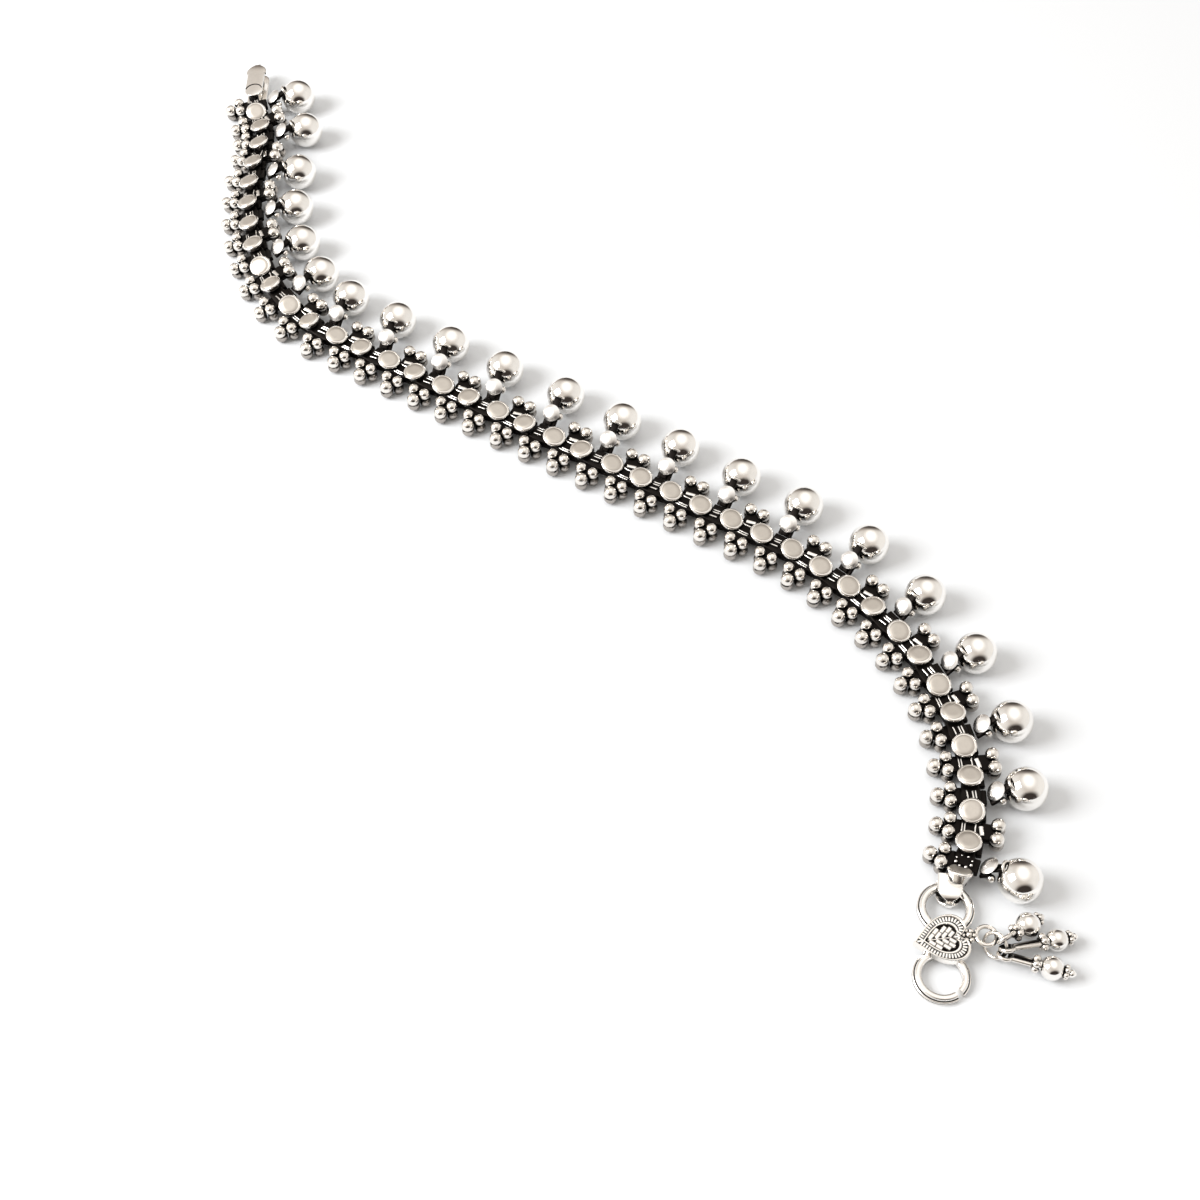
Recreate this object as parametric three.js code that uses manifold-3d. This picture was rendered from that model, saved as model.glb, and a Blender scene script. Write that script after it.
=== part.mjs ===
// A silver anklet lying open on a flat surface: a chain of button links with ball drops, a folded
// bail at the free end, and a double-ring hook with a heart plate and three charms at the other.
// Millimetres, +Z up. The surface is z = 0. The far end of the chain lies towards +Y.

import * as THREE from 'three';
import { mergeVertices } from 'three/addons/utils/BufferGeometryUtils.js';
import Module from 'manifold-3d';

const wasm = await Module();
wasm.setup();

// Chain
const LINKS = 41;
const PITCH = 5.98;
const MEET = 20;
const START = [-66.75, 91.22];
const GAP = 0.3;
const FLATNESS = 0.002;

// The way that the chain points, in degrees from +X, read at link numbers along it
const LAY = [
  { link: 0.5, heading: -77 },
  { link: 1, heading: -64 },
  { link: 3.5, heading: -96 },
  { link: 9, heading: -69 },
  { link: 13, heading: -32 },
  { link: 28, heading: -32 },
  { link: 33, heading: -56 },
  { link: 38, heading: -90 },
  { link: 41, heading: -114 },
];

// How far the links roll about the chain's line, with the trefoil side down
const ROLLS = [
  { link: 1, roll: 8 },
  { link: 3, roll: 19 },
  { link: 10, roll: 16 },
  { link: 13, roll: 3 },
  { link: 36, roll: 2 },
  { link: 41, roll: 4 },
];

// How far the odd and even buttons nod forward along the chain, up to a link number
const NODS = [
  { upTo: 1, odd: 28, even: 0 },
  { upTo: 8, odd: -8, even: -10 },
  { upTo: 12, odd: 22, even: -16 },
  { upTo: 22, odd: 11, even: -7 },
  { upTo: 31, odd: 15, even: 11 },
  { upTo: 40, odd: 17, even: -6 },
  { upTo: 41, odd: -38, even: 0 },
];

// How the drops lie, up to a drop number: swung back about the short arm's end, and how far the
// ball's centre lies from that end
const DROPS = [
  { upTo: 1, swing: 0, reach: 6.8 },
  { upTo: 5, swing: 15, reach: 6.9 },
  { upTo: 7, swing: 11, reach: 7.2 },
  { upTo: 10, swing: 13, reach: 7.4 },
  { upTo: 13, swing: 5, reach: 7.5 },
  { upTo: 16, swing: 1, reach: 7.2 },
  { upTo: 19, swing: -1, reach: 6.4 },
  { upTo: 20, swing: 13, reach: 6.3 },
  { upTo: 21, swing: -6, reach: 6.5 },
];

// Link sizes
const MID_Z = 2.0;
const FACE_R = 1.7;
const RIM_R = 2.05;
const FOOT_R = 1.15;
const BUTTON_TOP = 4.0;
const BUTTON_BEVEL = 0.3;
const BUTTON_FOOT = 2.5;
const SPINE_W = 3.4;
const SPINE_LOW = 1.0;
const SPINE_HIGH = 2.7;
const SPINE_END = 1.3;
const SPINE_START = 1.75;
const TAB_W = 2.0;
const TAB_T = 1.1;

// Granules: places along the chain and across it from the middle between two links, their
// radius, half their height and their number of sides
const TREFOIL = [
  { along: -1.18, across: -3.1, radius: 1.06, half: 1.95, sides: 8 },
  { along: 1.18, across: -3.1, radius: 1.06, half: 1.95, sides: 8 },
  { along: 0, across: -5.05, radius: 1.17, half: 1.75, sides: 8 },
];
const PAIR = [
  { along: -1.25, across: 4.2, radius: 1.17, half: 1.8, sides: 8 },
  { along: 1.25, across: 4.2, radius: 1.17, half: 1.8, sides: 8 },
];
const ARM_WIRE = 0.18;
const DROP_ARM_WIRE = 0.45;

// Drop sizes
const BALL_R = 3.43;
const BALL_SIDES = 10;
const BALL_STACKS = 5;
const DROP_ARM = 2.25;
const STEM_W = 1.4;
const STEM_T = 0.8;
const STEM_RISE = 40;
const SMALL_R = 1.6;
const SMALL_PLACE = 0.4;
const SMALL_TILT = 38;

// Bails
const STRIP_T = 0.55;
const LEAF_LOW = 0.55;
const LEAF_GAP = 2.0;
const START_BAIL_W = 4.2;
const START_BAIL_L = 11.2;
const TONGUE_W = 3.5;
const TONGUE_L = 6.4;
const CLASP_BAIL_AT = [55.85, -86.98];
const CLASP_BAIL_TURN = -97;
const CLASP_BAIL_W = 3.8;
const CLASP_BAIL_L = 4.7;
const BEND_SIDES = 8;

// Clasp hook, drawn flat and then tipped so that the bail's strip fits under its upper ring
const HOOK_AT = [54.79, -91.81];
const HOOK_TIP = 2.8;
const RING_R = 3.6;
const RING_W = 1.35;
const RING_T = 1.3;
const LOWER_RING = { x: -1.7, y: -10.8 };
const RING_SIDES = 16;
const HEART_AT = { x: -1.45, y: -5.6, turn: 7.5 };
const HEART_L = 8.3;
const HEART_W = 7.5;
const HEART_T = 1.0;
const RELIEF_T = 0.35;
const FLOWER = { x: 2.7, y: -4.9 };
const FLOWER_R = 0.8;
const EYE_R = 1.5;
const EYE_WIRE = 0.3;

// Charms: where each loop sits round the jump ring, how it points and how long its stem is
const CHARM_RING_R = 1.9;
const CHARM_RING_WIRE = 0.3;
const CHARM_RING_LEAN = 60;
const CHARMS = [
  { name: 'charm_1', round: 75, heading: 36, dip: 15, stem: 1.1, bead: 1.95 },
  { name: 'charm_2', round: 32, heading: 14, dip: 7.5, stem: 4.3, bead: 1.7 },
  { name: 'charm_3', round: -2, heading: -17, dip: 1, stem: 3.1, bead: 1.8 },
];
const LOOP_R = 1.0;
const LOOP_WIRE = 0.25;
const LOOP_SLACK = 0.15;

const rad = THREE.MathUtils.degToRad;

// A closed three.js geometry as a solid
function solid(geometry) {
  const bare = geometry.clone();
  bare.deleteAttribute('normal');
  bare.deleteAttribute('uv');
  const merged = mergeVertices(bare, 1e-4);
  const index = merged.index.array;
  const kept = [];
  for (let i = 0; i < index.length; i += 3) {
    const [a, b, c] = [index[i], index[i + 1], index[i + 2]];
    if (a !== b && b !== c && c !== a) {
      kept.push(a, b, c);
    }
  }
  return new wasm.Manifold(new wasm.Mesh({
    numProp: 3,
    vertProperties: new Float32Array(merged.attributes.position.array),
    triVerts: new Uint32Array(kept),
  }));
}

// Several geometries joined into one solid, with points that lie on a flat face or a straight
// edge dropped
function unite(geometries) {
  let solids = geometries.map(solid);
  while (solids.length > 1) {
    const joined = [];
    for (let i = 0; i < solids.length; i += 2) {
      joined.push(i + 1 < solids.length ? solids[i].add(solids[i + 1]) : solids[i]);
    }
    solids = joined;
  }
  return solids[0].asOriginal().simplify(FLATNESS);
}

function namedMesh(name, body, material) {
  const data = body.getMesh();
  const geometry = new THREE.BufferGeometry();
  geometry.setAttribute('position', new THREE.BufferAttribute(data.vertProperties, 3));
  geometry.setIndex(new THREE.BufferAttribute(data.triVerts, 1));
  geometry.computeVertexNormals();
  const mesh = new THREE.Mesh(geometry, material);
  mesh.name = name;
  return mesh;
}

function silver(color, roughness) {
  return new THREE.MeshStandardMaterial({ color, roughness, metalness: 1 });
}

// A number read from a table whose rows are joined by straight lines
function read(table, key, at) {
  const first = table[0];
  const last = table[table.length - 1];
  if (at <= first.link) {
    return first[key];
  }
  for (let i = 1; i < table.length; i += 1) {
    const [low, high] = [table[i - 1], table[i]];
    if (at <= high.link) {
      return low[key] + (high[key] - low[key]) * (at - low.link) / (high.link - low.link);
    }
  }
  return last[key];
}

function stretch(table, number) {
  return table.find((row) => number <= row.upTo);
}

// The point of each link's button, from link 0, the place before the first, to the last
function linkPoints() {
  const points = [];
  const step = (at) => new THREE.Vector2(PITCH, 0).rotateAround(
    new THREE.Vector2(), rad(read(LAY, 'heading', at)));
  points[1] = new THREE.Vector2(...START);
  points[0] = points[1].clone().sub(step(0.5));
  for (let link = 2; link <= LINKS; link += 1) {
    points[link] = points[link - 1].clone().add(step(link - 0.5));
  }
  return points;
}

// How far a rolled link is raised so that its lowest granule meets the surface
function lift(roll) {
  const tilt = rad(roll);
  const depths = [...TREFOIL, ...PAIR].map((grain) => {
    const centre = grain.across * Math.sin(tilt) + MID_Z * Math.cos(tilt);
    const reach = Math.hypot(grain.radius * Math.sin(tilt), grain.half * Math.cos(tilt));
    return reach - centre;
  });
  return Math.max(...depths) + 0.02;
}

// A frame on the chain: +X along it, +Y to the drop side, rolled about the chain's line
function frameAt(point, heading, roll) {
  return new THREE.Matrix4()
    .makeTranslation(point.x, point.y, lift(roll))
    .multiply(new THREE.Matrix4().makeRotationZ(rad(heading)))
    .multiply(new THREE.Matrix4().makeRotationX(rad(roll)));
}

const points = linkPoints();

// The frame at a place counted in links: 7 is the seventh button, 6.5 the middle before it
function chainFrame(place) {
  const before = Math.min(Math.floor(place), LINKS - 1);
  const point = points[before].clone().lerp(points[before + 1], place - before);
  return frameAt(point, read(LAY, 'heading', place), read(ROLLS, 'roll', place));
}

function linkFrame(link) {
  return chainFrame(link);
}

function armFrame(link) {
  return chainFrame(link - 0.5);
}

function box(u0, u1, w0, w1, z0, z1, cuts = 1) {
  return new THREE.BoxGeometry(u1 - u0, w1 - w0, z1 - z0, cuts, 1, 1)
    .translate((u0 + u1) / 2, (w0 + w1) / 2, (z0 + z1) / 2);
}

// A turned body about +Z: its profile rows are radius and height, from the bottom to the top
function turned(profile, sides) {
  const rows = profile.map(([radius, height]) => new THREE.Vector2(radius, height));
  return new THREE.LatheGeometry(rows, sides).rotateX(Math.PI / 2);
}

// A granule, or two stacked ones, as tall as twice its half height
function granule(x, y, z, radius, half, sides) {
  return turned([[0, -half], [radius, -half / 2], [radius, half / 2], [0, half]], sides)
    .rotateZ(Math.PI / sides).translate(x, y, z);
}

function button(link) {
  const row = stretch(NODS, link);
  const nod = link % 2 ? row.odd : row.even;
  const height = BUTTON_TOP - BUTTON_FOOT;
  return turned([
    [0, -0.8],
    [FOOT_R, -0.8],
    [RIM_R, height - BUTTON_BEVEL],
    [FACE_R, height],
    [0, height],
  ], 10).rotateY(rad(nod)).translate(0, 0, BUTTON_FOOT).applyMatrix4(linkFrame(link));
}

// The dark body under the links: a long box bent to the chain's line. Its sections stand at
// places counted in links, each clear of the buttons and arms.
function spine(first, last) {
  const places = [first === 1 ? 0.4 : first - 1 + SPINE_START / PITCH];
  for (let link = first; link <= last; link += 1) {
    places.push(link - 0.25);
  }
  places.push(last === LINKS ? last : last + SPINE_END / PITCH);
  const sections = places.length - 1;
  const bent = box(0, sections, -SPINE_W / 2, SPINE_W / 2, SPINE_LOW, SPINE_HIGH, sections);
  const position = bent.attributes.position;
  const vertex = new THREE.Vector3();
  for (let i = 0; i < position.count; i += 1) {
    vertex.fromBufferAttribute(position, i);
    const place = places[Math.round(vertex.x)];
    vertex.setX(0).applyMatrix4(chainFrame(place));
    position.setXYZ(i, vertex.x, vertex.y, vertex.z);
  }
  return bent;
}

// A thin arm across the chain, from its middle out to a granule or a drop
function arm(along, end, wire, sides) {
  return new THREE.CylinderGeometry(wire, wire, Math.abs(end), sides)
    .rotateY(end > 0 ? Math.PI : 0).translate(along, end / 2, MID_Z);
}

// What stands at both sides of the chain, midway between two links
function sideGrains(link) {
  const grains = link % 2 ? TREFOIL : [...TREFOIL, ...PAIR];
  const pieces = grains.flatMap(({ along, across, radius, half, sides }) => [
    granule(along, across, MID_Z, radius, half, sides),
    arm(along, across, ARM_WIRE, 3),
  ]);
  if (link % 2) {
    pieces.push(arm(0, DROP_ARM, DROP_ARM_WIRE, 4));
  }
  return pieces.map((piece) => piece.applyMatrix4(armFrame(link)));
}

// The tab at the chain's free end, held between the two leaves of the bail
function startTab() {
  const low = MID_Z - TAB_T / 2;
  return box(-3.4, 0, -TAB_W / 2, TAB_W / 2, low, low + TAB_T).applyMatrix4(armFrame(1));
}

function chain(first, last) {
  const pieces = [spine(first, last)];
  for (let link = first; link <= last; link += 1) {
    pieces.push(button(link), ...sideGrains(link));
  }
  if (first === 1) {
    pieces.push(startTab());
  }
  if (last === LINKS) {
    pieces.push(claspBail());
  }
  return unite(pieces);
}

// One drop, in its own plane: +X outwards from the end of the link's short arm
function drop(number) {
  const row = stretch(DROPS, number);
  const place = armFrame(2 * number - 1);
  const armEnd = new THREE.Vector3(0, DROP_ARM, MID_Z).applyMatrix4(place);
  const heading = read(LAY, 'heading', 2 * number - 1.5);
  const start = new THREE.Vector2(GAP + 0.27, armEnd.z);
  const ball = new THREE.Vector2(row.reach, BALL_R);
  const rise = new THREE.Vector2(-Math.cos(rad(STEM_RISE)), Math.sin(rad(STEM_RISE)));
  const root = ball.clone().addScaledVector(rise, BALL_R - 0.3);
  const stem = root.clone().sub(start);
  const slope = stem.angle();
  const tilt = Math.max(slope, rad(SMALL_TILT));
  const middle = start.clone().lerp(root, SMALL_PLACE);
  const pieces = [
    new THREE.SphereGeometry(BALL_R, BALL_SIDES, BALL_STACKS)
      .rotateX(Math.PI / 2).translate(ball.x, 0, ball.y),
    box(0, stem.length(), -STEM_W / 2, STEM_W / 2, -STEM_T / 2, STEM_T / 2)
      .rotateY(-slope).translate(start.x, 0, start.y),
    turned([[0, 0], [SMALL_R, 0.7], [SMALL_R - 0.3, 0.95], [0, 0.95]], 10)
      .rotateY(-tilt).translate(middle.x, 0, middle.y),
  ];
  const swung = new THREE.Matrix4()
    .makeTranslation(armEnd.x, armEnd.y, 0)
    .multiply(new THREE.Matrix4().makeRotationZ(rad(heading + 90 + row.swing)));
  return unite(pieces.map((piece) => piece.applyMatrix4(swung)));
}

// A strip folded over into two leaves: +X from the open end to the bend, +Y across, from z = low
function foldedStrip(length, width, low, lowerStart, upperStart) {
  const outer = LEAF_GAP / 2 + STRIP_T;
  const bendAt = length - outer;
  const bend = [];
  for (let i = 0; i <= BEND_SIDES; i += 1) {
    const turn = -Math.PI / 2 + Math.PI * i / BEND_SIDES;
    bend.push([Math.cos(turn), Math.sin(turn)]);
  }
  const shape = new THREE.Shape();
  const inner = outer - STRIP_T;
  shape.moveTo(lowerStart, -outer);
  bend.forEach(([c, s]) => shape.lineTo(bendAt + outer * c, outer * s));
  shape.lineTo(upperStart, outer);
  shape.lineTo(upperStart, inner);
  [...bend].reverse().forEach(([c, s]) => shape.lineTo(bendAt + inner * c, inner * s));
  shape.lineTo(lowerStart, -inner);
  shape.closePath();
  return new THREE.ExtrudeGeometry(shape, { depth: width, bevelEnabled: false })
    .rotateX(Math.PI / 2).translate(0, width / 2, low + outer);
}

function startBail() {
  const top = LEAF_LOW + 2 * STRIP_T + LEAF_GAP;
  const tongue = new THREE.Shape();
  const radius = TONGUE_W / 2;
  tongue.moveTo(TONGUE_L, -radius);
  tongue.lineTo(TONGUE_L, radius);
  tongue.absarc(radius, 0, radius, Math.PI / 2, 3 * Math.PI / 2, false);
  const leaf = new THREE.ExtrudeGeometry(tongue, {
    depth: STRIP_T, bevelEnabled: false, curveSegments: 8,
  }).translate(0, 0, top - STRIP_T);
  const place = armFrame(1)
    .multiply(new THREE.Matrix4().makeTranslation(-1.7, 0, 0))
    .multiply(new THREE.Matrix4().makeRotationZ(rad(167)));
  const strip = foldedStrip(START_BAIL_L, START_BAIL_W, LEAF_LOW, 0.9, TONGUE_L - 0.4);
  return unite([strip, leaf].map((piece) => piece.applyMatrix4(place)));
}

// The bail at the clasp is soldered over the last link and belongs to the chain's lower half
function claspBail() {
  const place = new THREE.Matrix4()
    .makeTranslation(...CLASP_BAIL_AT, 0)
    .multiply(new THREE.Matrix4().makeRotationZ(rad(CLASP_BAIL_TURN)));
  return foldedStrip(CLASP_BAIL_L, CLASP_BAIL_W, 0.02, 0, 0).applyMatrix4(place);
}

// A ring of wire with a flat section, round +Z, with its underside at z = 0
function flatRing() {
  const [inner, outer] = [RING_R - RING_W / 2, RING_R + RING_W / 2];
  return turned([
    [inner, 0], [outer, 0], [outer, RING_T * 0.6], [outer - 0.45, RING_T], [inner, RING_T],
    [inner, 0],
  ], RING_SIDES);
}

// The heart's outline: its tip points to -X, with half the width in +Y, scaled about its middle
function heartOutline(length, width) {
  const shape = new THREE.Shape();
  const half = width / 2;
  shape.moveTo(-length / 2, 0);
  shape.bezierCurveTo(-length * 0.3, half * 0.42, -length * 0.12, half, length * 0.2, half);
  shape.bezierCurveTo(length * 0.42, half, length * 0.52, half * 0.6, length * 0.49, half * 0.32);
  shape.lineTo(length * 0.34, 0);
  shape.lineTo(length * 0.49, -half * 0.32);
  shape.bezierCurveTo(length * 0.52, -half * 0.6, length * 0.42, -half, length * 0.2, -half);
  shape.bezierCurveTo(-length * 0.12, -half, -length * 0.3, -half * 0.42, -length / 2, 0);
  return shape;
}

function heartSlab(scale, low, high, segments) {
  return new THREE.ExtrudeGeometry(heartOutline(HEART_L * scale, HEART_W * scale), {
    depth: high - low, bevelEnabled: false, curveSegments: segments,
  }).translate(0, 0, low);
}

// A leaf cell of the heart's relief, a lozenge with its long way at an angle
function leafCell(x, y, length, width, turn, low, high) {
  const shape = new THREE.Shape();
  shape.moveTo(-length / 2, 0);
  shape.quadraticCurveTo(0, -width / 2 - 0.1, length / 2, 0);
  shape.quadraticCurveTo(0, width / 2 + 0.1, -length / 2, 0);
  return new THREE.ExtrudeGeometry(shape, {
    depth: high - low, bevelEnabled: false, curveSegments: 2,
  }).rotateZ(rad(turn)).translate(x, y, low);
}

function heart() {
  const top = HEART_T + RELIEF_T;
  const plate = solid(heartSlab(1, 0, top, 4));
  const outerField = solid(heartSlab(0.88, HEART_T, top + 1, 4));
  const innerRim = solid(heartSlab(0.68, HEART_T - 0.2, top, 3));
  const innerField = solid(heartSlab(0.57, HEART_T, top + 1, 3));
  let body = plate.subtract(outerField).add(innerRim).subtract(innerField);
  const cells = [[-1.35, 0, 1.3, 0.5, 0]];
  for (const side of [1, -1]) {
    cells.push([-0.5, side * 0.55, 1.0, 0.45, side * 35]);
    cells.push([0.3, side * 0.85, 1.1, 0.5, side * 50]);
    cells.push([1.2, side * 0.95, 1.1, 0.6, side * 20]);
  }
  for (const [x, y, length, width, turn] of cells) {
    body = body.add(solid(leafCell(x, y, length, width, turn, HEART_T - 0.2, top - 0.05)));
  }
  return body;
}

function claspHook() {
  const place = new THREE.Matrix4()
    .makeTranslation(HOOK_AT[0], HOOK_AT[1], 0)
    .multiply(new THREE.Matrix4().makeTranslation(0, LOWER_RING.y - RING_R - RING_W / 2, 0.02))
    .multiply(new THREE.Matrix4().makeRotationX(rad(HOOK_TIP)))
    .multiply(new THREE.Matrix4().makeTranslation(0, -LOWER_RING.y + RING_R + RING_W / 2, 0));
  const slot = box(-0.45, 0.45, 0, 6, -1, 3)
    .rotateZ(rad(-52)).translate(LOWER_RING.x, LOWER_RING.y, 0);
  const rings = solid(flatRing())
    .add(solid(flatRing().translate(LOWER_RING.x, LOWER_RING.y, 0)).subtract(solid(slot)));
  const heartPlace = new THREE.Matrix4()
    .makeTranslation(HEART_AT.x, HEART_AT.y, RING_T - 0.25)
    .multiply(new THREE.Matrix4().makeRotationZ(rad(HEART_AT.turn)));
  const flower = [granule(FLOWER.x, FLOWER.y, RING_T + 0.75, 0.5, 0.5, 6)];
  for (let i = 0; i < 6; i += 1) {
    const turn = Math.PI * i / 3;
    flower.push(granule(FLOWER.x + FLOWER_R * Math.cos(turn), FLOWER.y + FLOWER_R * Math.sin(turn),
      RING_T + 0.45, 0.44, 0.44, 6));
  }
  const eye = wireRing(EYE_R, EYE_WIRE, 10)
    .translate(FLOWER.x + FLOWER_R + EYE_R + EYE_WIRE, FLOWER.y, RING_T + 0.4);
  const bits = unite([...flower, eye]);
  return rings.add(heart().transform(heartPlace.elements)).add(bits).transform(place.elements);
}

// The jump ring: it passes down through the eye and leans over towards the charms
const eyeMiddle = new THREE.Vector3(
  HOOK_AT[0] + FLOWER.x + FLOWER_R + EYE_R + EYE_WIRE, HOOK_AT[1] + FLOWER.y, 0);
const towardEye = new THREE.Vector3(-0.6, 0.8, 0);
const level = new THREE.Vector3(0.8, 0.6, 0);
const ringSide = level.clone().multiplyScalar(Math.cos(rad(CHARM_RING_LEAN)))
  .add(new THREE.Vector3(0, 0, Math.sin(rad(CHARM_RING_LEAN))));
const ringCentre = eyeMiddle.clone().addScaledVector(towardEye, -CHARM_RING_R)
  .setZ(CHARM_RING_R * Math.sin(rad(CHARM_RING_LEAN)) + CHARM_RING_WIRE + 0.05);

function wireRing(radius, wire, sides) {
  const rows = [];
  for (let i = 0; i <= 5; i += 1) {
    const turn = 2 * Math.PI * i / 5;
    rows.push([radius + wire * Math.cos(turn), wire * Math.sin(turn)]);
  }
  return turned(rows, sides);
}

function charmRing() {
  const normal = towardEye.clone().cross(ringSide);
  const turn = new THREE.Matrix4().makeBasis(towardEye, ringSide, normal).setPosition(ringCentre);
  return unite([wireRing(CHARM_RING_R, CHARM_RING_WIRE, 12).applyMatrix4(turn)]);
}

function charm({ round, heading, dip, stem, bead }) {
  const around = rad(round);
  const held = ringCentre.clone()
    .addScaledVector(towardEye, -CHARM_RING_R * Math.cos(around))
    .addScaledVector(ringSide, CHARM_RING_R * Math.sin(around));
  const tangent = towardEye.clone().multiplyScalar(Math.sin(around))
    .addScaledVector(ringSide, Math.cos(around));
  const along = new THREE.Vector3(
    Math.cos(rad(dip)) * Math.cos(rad(heading)),
    Math.cos(rad(dip)) * Math.sin(rad(heading)),
    -Math.sin(rad(dip)));
  const flat = tangent.clone().addScaledVector(along, -tangent.dot(along)).normalize();
  const side = flat.clone().cross(along);
  const place = new THREE.Matrix4().makeBasis(along, side, flat).setPosition(held);
  const body = LOOP_SLACK + LOOP_R + stem;
  const neck = body - stem - 0.2;
  const rows = [
    [0, neck], [0.42, neck], [0.58, body], [1.15, body + 0.45], [0.85, body + 0.95],
    [bead * 0.88, body + 1.0 + bead * 0.55], [bead, body + 1.0 + bead],
    [bead * 0.88, body + 1.0 + bead * 1.45], [0.8, body + 0.95 + bead * 1.95],
    [1.2, body + 1.35 + bead * 1.95], [0.55, body + 1.95 + bead * 1.95],
    [0.5, body + 2.6 + bead * 1.95], [0, body + 2.9 + bead * 1.95],
  ];
  const pieces = [
    wireRing(LOOP_R, LOOP_WIRE, 10).translate(LOOP_SLACK, 0, 0),
    turned(rows, 10).rotateY(Math.PI / 2),
  ];
  return unite(pieces.map((piece) => piece.applyMatrix4(place)));
}

const anklet = new THREE.Group();
const chainSilver = silver(0x8d8881, 0.38);
const brightSilver = silver(0xe6e2da, 0.12);

anklet.add(namedMesh('chain_upper', chain(1, MEET), chainSilver));
anklet.add(namedMesh('chain_lower', chain(MEET + 1, LINKS), chainSilver));
for (let number = 1; 2 * number - 1 <= LINKS; number += 1) {
  anklet.add(namedMesh(`drop_${String(number).padStart(2, '0')}`, drop(number), brightSilver));
}
anklet.add(namedMesh('start_bail', startBail(), brightSilver));
anklet.add(namedMesh('clasp_hook', claspHook(), brightSilver));
anklet.add(namedMesh('charm_ring', charmRing(), brightSilver));
for (const row of CHARMS) {
  anklet.add(namedMesh(row.name, charm(row), brightSilver));
}

export default anklet;
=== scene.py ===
"""A silver anklet lying open on a pale table, seen from above its clasp.

Sizes are millimetres, and each finished mesh is scaled to metres.
"""

import bmesh
import bpy
import math
from mathutils import Matrix, Vector
from mathutils.bvhtree import BVHTree


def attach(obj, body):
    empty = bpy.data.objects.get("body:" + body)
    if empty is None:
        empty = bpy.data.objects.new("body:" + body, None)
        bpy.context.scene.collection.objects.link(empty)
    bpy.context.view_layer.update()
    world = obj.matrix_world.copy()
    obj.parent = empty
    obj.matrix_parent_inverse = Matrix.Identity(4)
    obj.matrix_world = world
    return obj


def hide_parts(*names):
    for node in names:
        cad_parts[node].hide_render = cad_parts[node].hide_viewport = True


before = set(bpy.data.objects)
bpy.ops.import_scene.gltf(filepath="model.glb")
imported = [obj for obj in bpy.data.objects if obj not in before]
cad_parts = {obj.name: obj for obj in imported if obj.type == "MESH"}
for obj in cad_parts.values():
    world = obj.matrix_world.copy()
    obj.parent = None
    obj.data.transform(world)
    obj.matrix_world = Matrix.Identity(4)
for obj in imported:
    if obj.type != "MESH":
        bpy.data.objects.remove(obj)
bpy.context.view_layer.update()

MM = Matrix.Scale(0.001, 4)
rad = math.radians

# Sizes of the chain, in millimetres
LINKS = 41
PITCH = 5.98
MEET = 20
START = (-66.75, 91.22)

# The way the chain points, in degrees from +X, at link numbers along it
LAY = [(0.5, -77), (1, -64), (3.5, -96), (9, -69), (13, -32), (28, -32), (33, -56), (38, -90),
       (41, -114)]

# How far the links roll about the chain's line
ROLLS = [(1, 8), (3, 19), (10, 16), (13, 3), (36, 2), (41, 4)]

# How far the buttons nod along the chain, up to a link: odd and even ones
NODS = [(1, 28, 0), (8, -8, -10), (12, 22, -16), (22, 11, -7), (31, 15, 11), (40, 17, -6),
        (41, -38, 0)]

# How the drops lie, up to a drop: their swing, and how far the ball lies from the arm's end
DROPS = [(1, 0, 6.8), (5, 15, 6.9), (7, 11, 7.2), (10, 13, 7.4), (13, 5, 7.5), (16, 1, 7.2),
         (19, -1, 6.4), (20, 13, 6.3), (21, -6, 6.5)]

# Heights in a link's own frame, the dark body's half width and the short arms' reach
MID_Z = 2.0
BUTTON_FOOT = 2.5
SPINE_LOW = 1.0
SPINE_HIGH = 2.7
SPINE_HALF = 1.7
DROP_ARM = 2.25
CHAIN_CLEAR = 0.03

# Where the two halves' dark bodies start and stop, in links, and their sections in a link
BODY_START = 0.4
BODY_STOPS = 0.217
BODY_RESUMES = 0.293
SECTIONS = 8

# Granule stacks: along and across from the middle between two links, ball radius, half height
TREFOIL = [(-1.18, -3.1, 1.04, 1.95), (1.18, -3.1, 1.04, 1.95), (0.0, -5.05, 1.15, 1.75)]
PAIR = [(-1.25, 4.2, 1.15, 1.8), (1.25, 4.2, 1.15, 1.8)]

# How far a point looks for what closes it in, in metres, and in how many directions
HOLLOW_REACH = 0.0026
HOLLOW_RAYS = 14


def shift(x, y, z):
    """A move as a matrix."""
    return Matrix.Translation((x, y, z))


def spin(degrees, axis):
    """A turn about an axis as a matrix."""
    return Matrix.Rotation(rad(degrees), 4, axis)


def polar(radius, turn):
    """The two coordinates of a point on a circle."""
    return radius * math.cos(turn), radius * math.sin(turn)


def read(table, place):
    """A number read from rows of (place, number) joined by straight lines."""
    if place <= table[0][0]:
        return table[0][1]
    for (low, a), (high, b) in zip(table, table[1:]):
        if place <= high:
            return a + (b - a) * (place - low) / (high - low)
    return table[-1][1]


def stretch(table, number):
    """The first row that reaches as far as the number."""
    return next(row for row in table if number <= row[0])


def link_points():
    """The middle of each link on the table, from the place before the first."""
    def step(place):
        return Vector(polar(PITCH, rad(read(LAY, place))))
    points = {1: Vector(START)}
    points[0] = points[1] - step(0.5)
    for link in range(2, LINKS + 1):
        points[link] = points[link - 1] + step(link - 0.5)
    return points


POINTS = link_points()


def lift(roll):
    """How far a rolled link is raised so that its lowest granule meets the table."""
    tilt = rad(roll)
    depths = []
    for _, across, radius, half in TREFOIL + PAIR:
        centre = across * math.sin(tilt) + MID_Z * math.cos(tilt)
        depths.append(math.hypot(radius * math.sin(tilt), half * math.cos(tilt)) - centre)
    return max(depths) + CHAIN_CLEAR


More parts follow.
